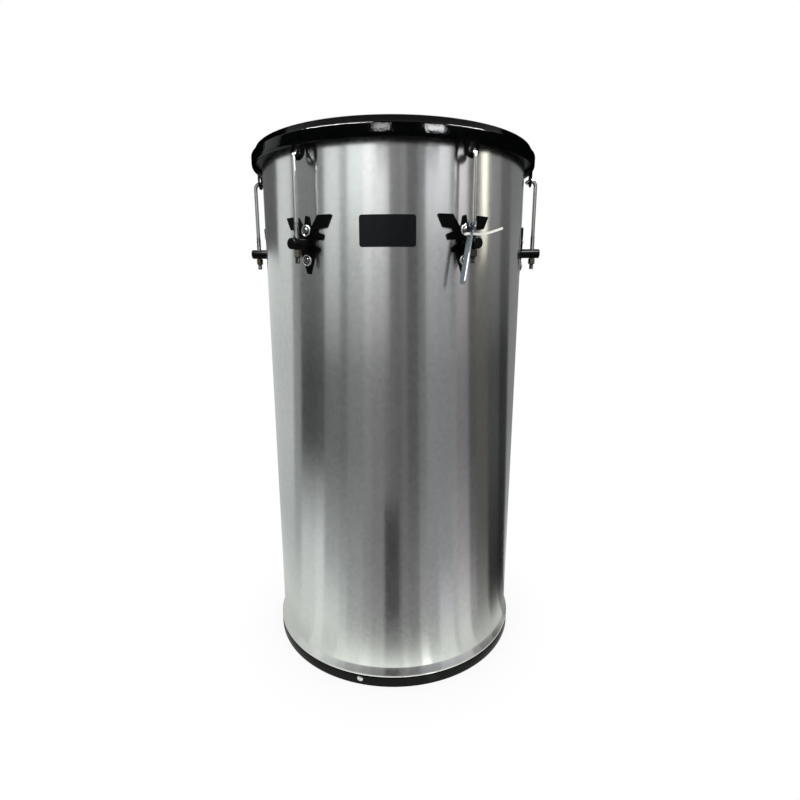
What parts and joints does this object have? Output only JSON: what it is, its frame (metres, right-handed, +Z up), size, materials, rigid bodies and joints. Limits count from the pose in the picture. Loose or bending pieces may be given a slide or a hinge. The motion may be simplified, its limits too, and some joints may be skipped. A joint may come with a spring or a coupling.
{
  "type": "tantan drum",
  "caption": "Tall one-headed samba hand drum: aluminium shell, glossy black hoop with hook rods on winged brackets, black foot ring, tuning key on a cable tie.",
  "frame": {"origin": "centre of the foot ring's underside, on the drum's axis", "axes": "+Z up along the drum's axis to the head, -Y to the front, where the label is, +X to the right as seen from the front"},
  "size_m": [0.4132, 0.3812, 0.6936],
  "materials": {
    "satin_aluminium": "satin, faint mill spangle",
    "black_edge": "semi-gloss black",
    "label_black": "bare satin black plate",
    "coated_skin": "coated white film",
    "black_enamel": "high gloss",
    "bare_alloy": "bare",
    "white_nylon": "natural nylon",
    "bright_chrome": "bright plated",
    "bright_steel": "zinc plated",
    "black_powder_coat": "satin powder coat",
    "dull_brass": "dull yellow zinc"
  },
  "bodies": {
    "shell": {"shell": "satin_aluminium", "foot_ring": "black_edge", "label": "label_black", "cable_tie": "white_nylon", "foot_rivet_1": "bright_steel", "foot_rivet_2": "bright_steel", "foot_rivet_3": "bright_steel", "bracket_1": "black_powder_coat", "post_1": "black_powder_coat", "screw_upper_1": "bright_chrome", "screw_lower_1": "bright_chrome", "inner_nut_upper_1": "bright_steel", "inner_nut_lower_1": "bright_steel", "bracket_2": "black_powder_coat", "post_2": "black_powder_coat", "screw_upper_2": "bright_chrome", "screw_lower_2": "bright_chrome", "inner_nut_upper_2": "bright_steel", "inner_nut_lower_2": "bright_steel", "bracket_3": "black_powder_coat", "post_3": "black_powder_coat", "screw_upper_3": "bright_chrome", "screw_lower_3": "bright_chrome", "inner_nut_upper_3": "bright_steel", "inner_nut_lower_3": "bright_steel", "bracket_4": "black_powder_coat", "post_4": "black_powder_coat", "screw_upper_4": "bright_chrome", "screw_lower_4": "bright_chrome", "inner_nut_upper_4": "bright_steel", "inner_nut_lower_4": "bright_steel", "bracket_5": "black_powder_coat", "post_5": "black_powder_coat", "screw_upper_5": "bright_chrome", "screw_lower_5": "bright_chrome", "inner_nut_upper_5": "bright_steel", "inner_nut_lower_5": "bright_steel", "bracket_6": "black_powder_coat", "post_6": "black_powder_coat", "screw_upper_6": "bright_chrome", "screw_lower_6": "bright_chrome", "inner_nut_upper_6": "bright_steel", "inner_nut_lower_6": "bright_steel"},
    "hoop": {"hoop": "black_enamel", "flesh_hoop": "bare_alloy", "head": "coated_skin", "hook_rod_1": "bright_steel", "hook_rod_2": "bright_steel", "hook_rod_3": "bright_steel", "hook_rod_4": "bright_steel", "hook_rod_5": "bright_steel", "hook_rod_6": "bright_steel"},
    "key": {"tuning_key": "bright_chrome"},
    "nut_1": {"tuning_nut_1": "dull_brass"},
    "nut_2": {"tuning_nut_2": "dull_brass"},
    "nut_3": {"tuning_nut_3": "dull_brass"},
    "nut_4": {"tuning_nut_4": "dull_brass"},
    "nut_5": {"tuning_nut_5": "dull_brass"},
    "nut_6": {"tuning_nut_6": "dull_brass"}
  },
  "joints": [
    {"name": "hoop_tension", "type": "slide", "parent": "shell", "child": "hoop", "axis": [0, 0, 1], "range_m": [-0.003, 0.005], "deforming": ["head"]},
    {"name": "nut_turn_1", "type": "hinge", "parent": "shell", "child": "nut_1", "pos_m": [-0.09825, -0.17017, 0.55955], "axis": [0, 0, 1], "range_deg": [-1830, 1110]},
    {"name": "nut_turn_2", "type": "hinge", "parent": "shell", "child": "nut_2", "pos_m": [0.09825, -0.17017, 0.55955], "axis": [0, 0, 1], "range_deg": [-1830, 1110]},
    {"name": "nut_turn_3", "type": "hinge", "parent": "shell", "child": "nut_3", "pos_m": [0.1965, 0, 0.55955], "axis": [0, 0, 1], "range_deg": [-1830, 1110]},
    {"name": "nut_turn_4", "type": "hinge", "parent": "shell", "child": "nut_4", "pos_m": [0.09825, 0.17017, 0.55955], "axis": [0, 0, 1], "range_deg": [-1830, 1110]},
    {"name": "nut_turn_5", "type": "hinge", "parent": "shell", "child": "nut_5", "pos_m": [-0.09825, 0.17017, 0.55955], "axis": [0, 0, 1], "range_deg": [-1830, 1110]},
    {"name": "nut_turn_6", "type": "hinge", "parent": "shell", "child": "nut_6", "pos_m": [-0.1965, 0, 0.55955], "axis": [0, 0, 1], "range_deg": [-1830, 1110]},
    {"name": "key_swing", "type": "hinge", "parent": "shell", "child": "key", "pos_m": [0.09422, -0.17712, 0.5755], "axis": [0.8541, 0.4931, -0.165], "range_deg": [-25, 15]}
  ],
  "couplings": [
    {"joint": "nut_turn_1", "follows": "hoop_tension", "rad_per_m": -6283.2},
    {"joint": "nut_turn_2", "follows": "hoop_tension", "rad_per_m": -6283.2},
    {"joint": "nut_turn_3", "follows": "hoop_tension", "rad_per_m": -6283.2},
    {"joint": "nut_turn_4", "follows": "hoop_tension", "rad_per_m": -6283.2},
    {"joint": "nut_turn_5", "follows": "hoop_tension", "rad_per_m": -6283.2},
    {"joint": "nut_turn_6", "follows": "hoop_tension", "rad_per_m": -6283.2}
  ]
}
